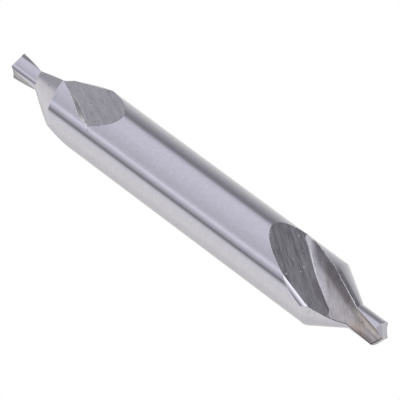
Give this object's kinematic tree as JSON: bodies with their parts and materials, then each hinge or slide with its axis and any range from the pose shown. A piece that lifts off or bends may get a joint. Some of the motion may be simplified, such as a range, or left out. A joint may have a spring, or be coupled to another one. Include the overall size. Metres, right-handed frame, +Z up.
{
  "type": "centre drill bit",
  "caption": "Double-ended centre drill: a plain round steel shank with a fluted pilot drill and a conical countersink ground on each end.",
  "frame": {"origin": "middle of the body, on the axis of the tool", "axes": "+X along the tool's axis to the end that is on the right in the picture, +Z up with the tool lying level"},
  "size_m": [0.056, 0.008, 0.008],
  "materials": {
    "ground_steel": "ground bright"
  },
  "bodies": {
    "root": {"centre_drill": "ground_steel"}
  },
  "joints": []
}
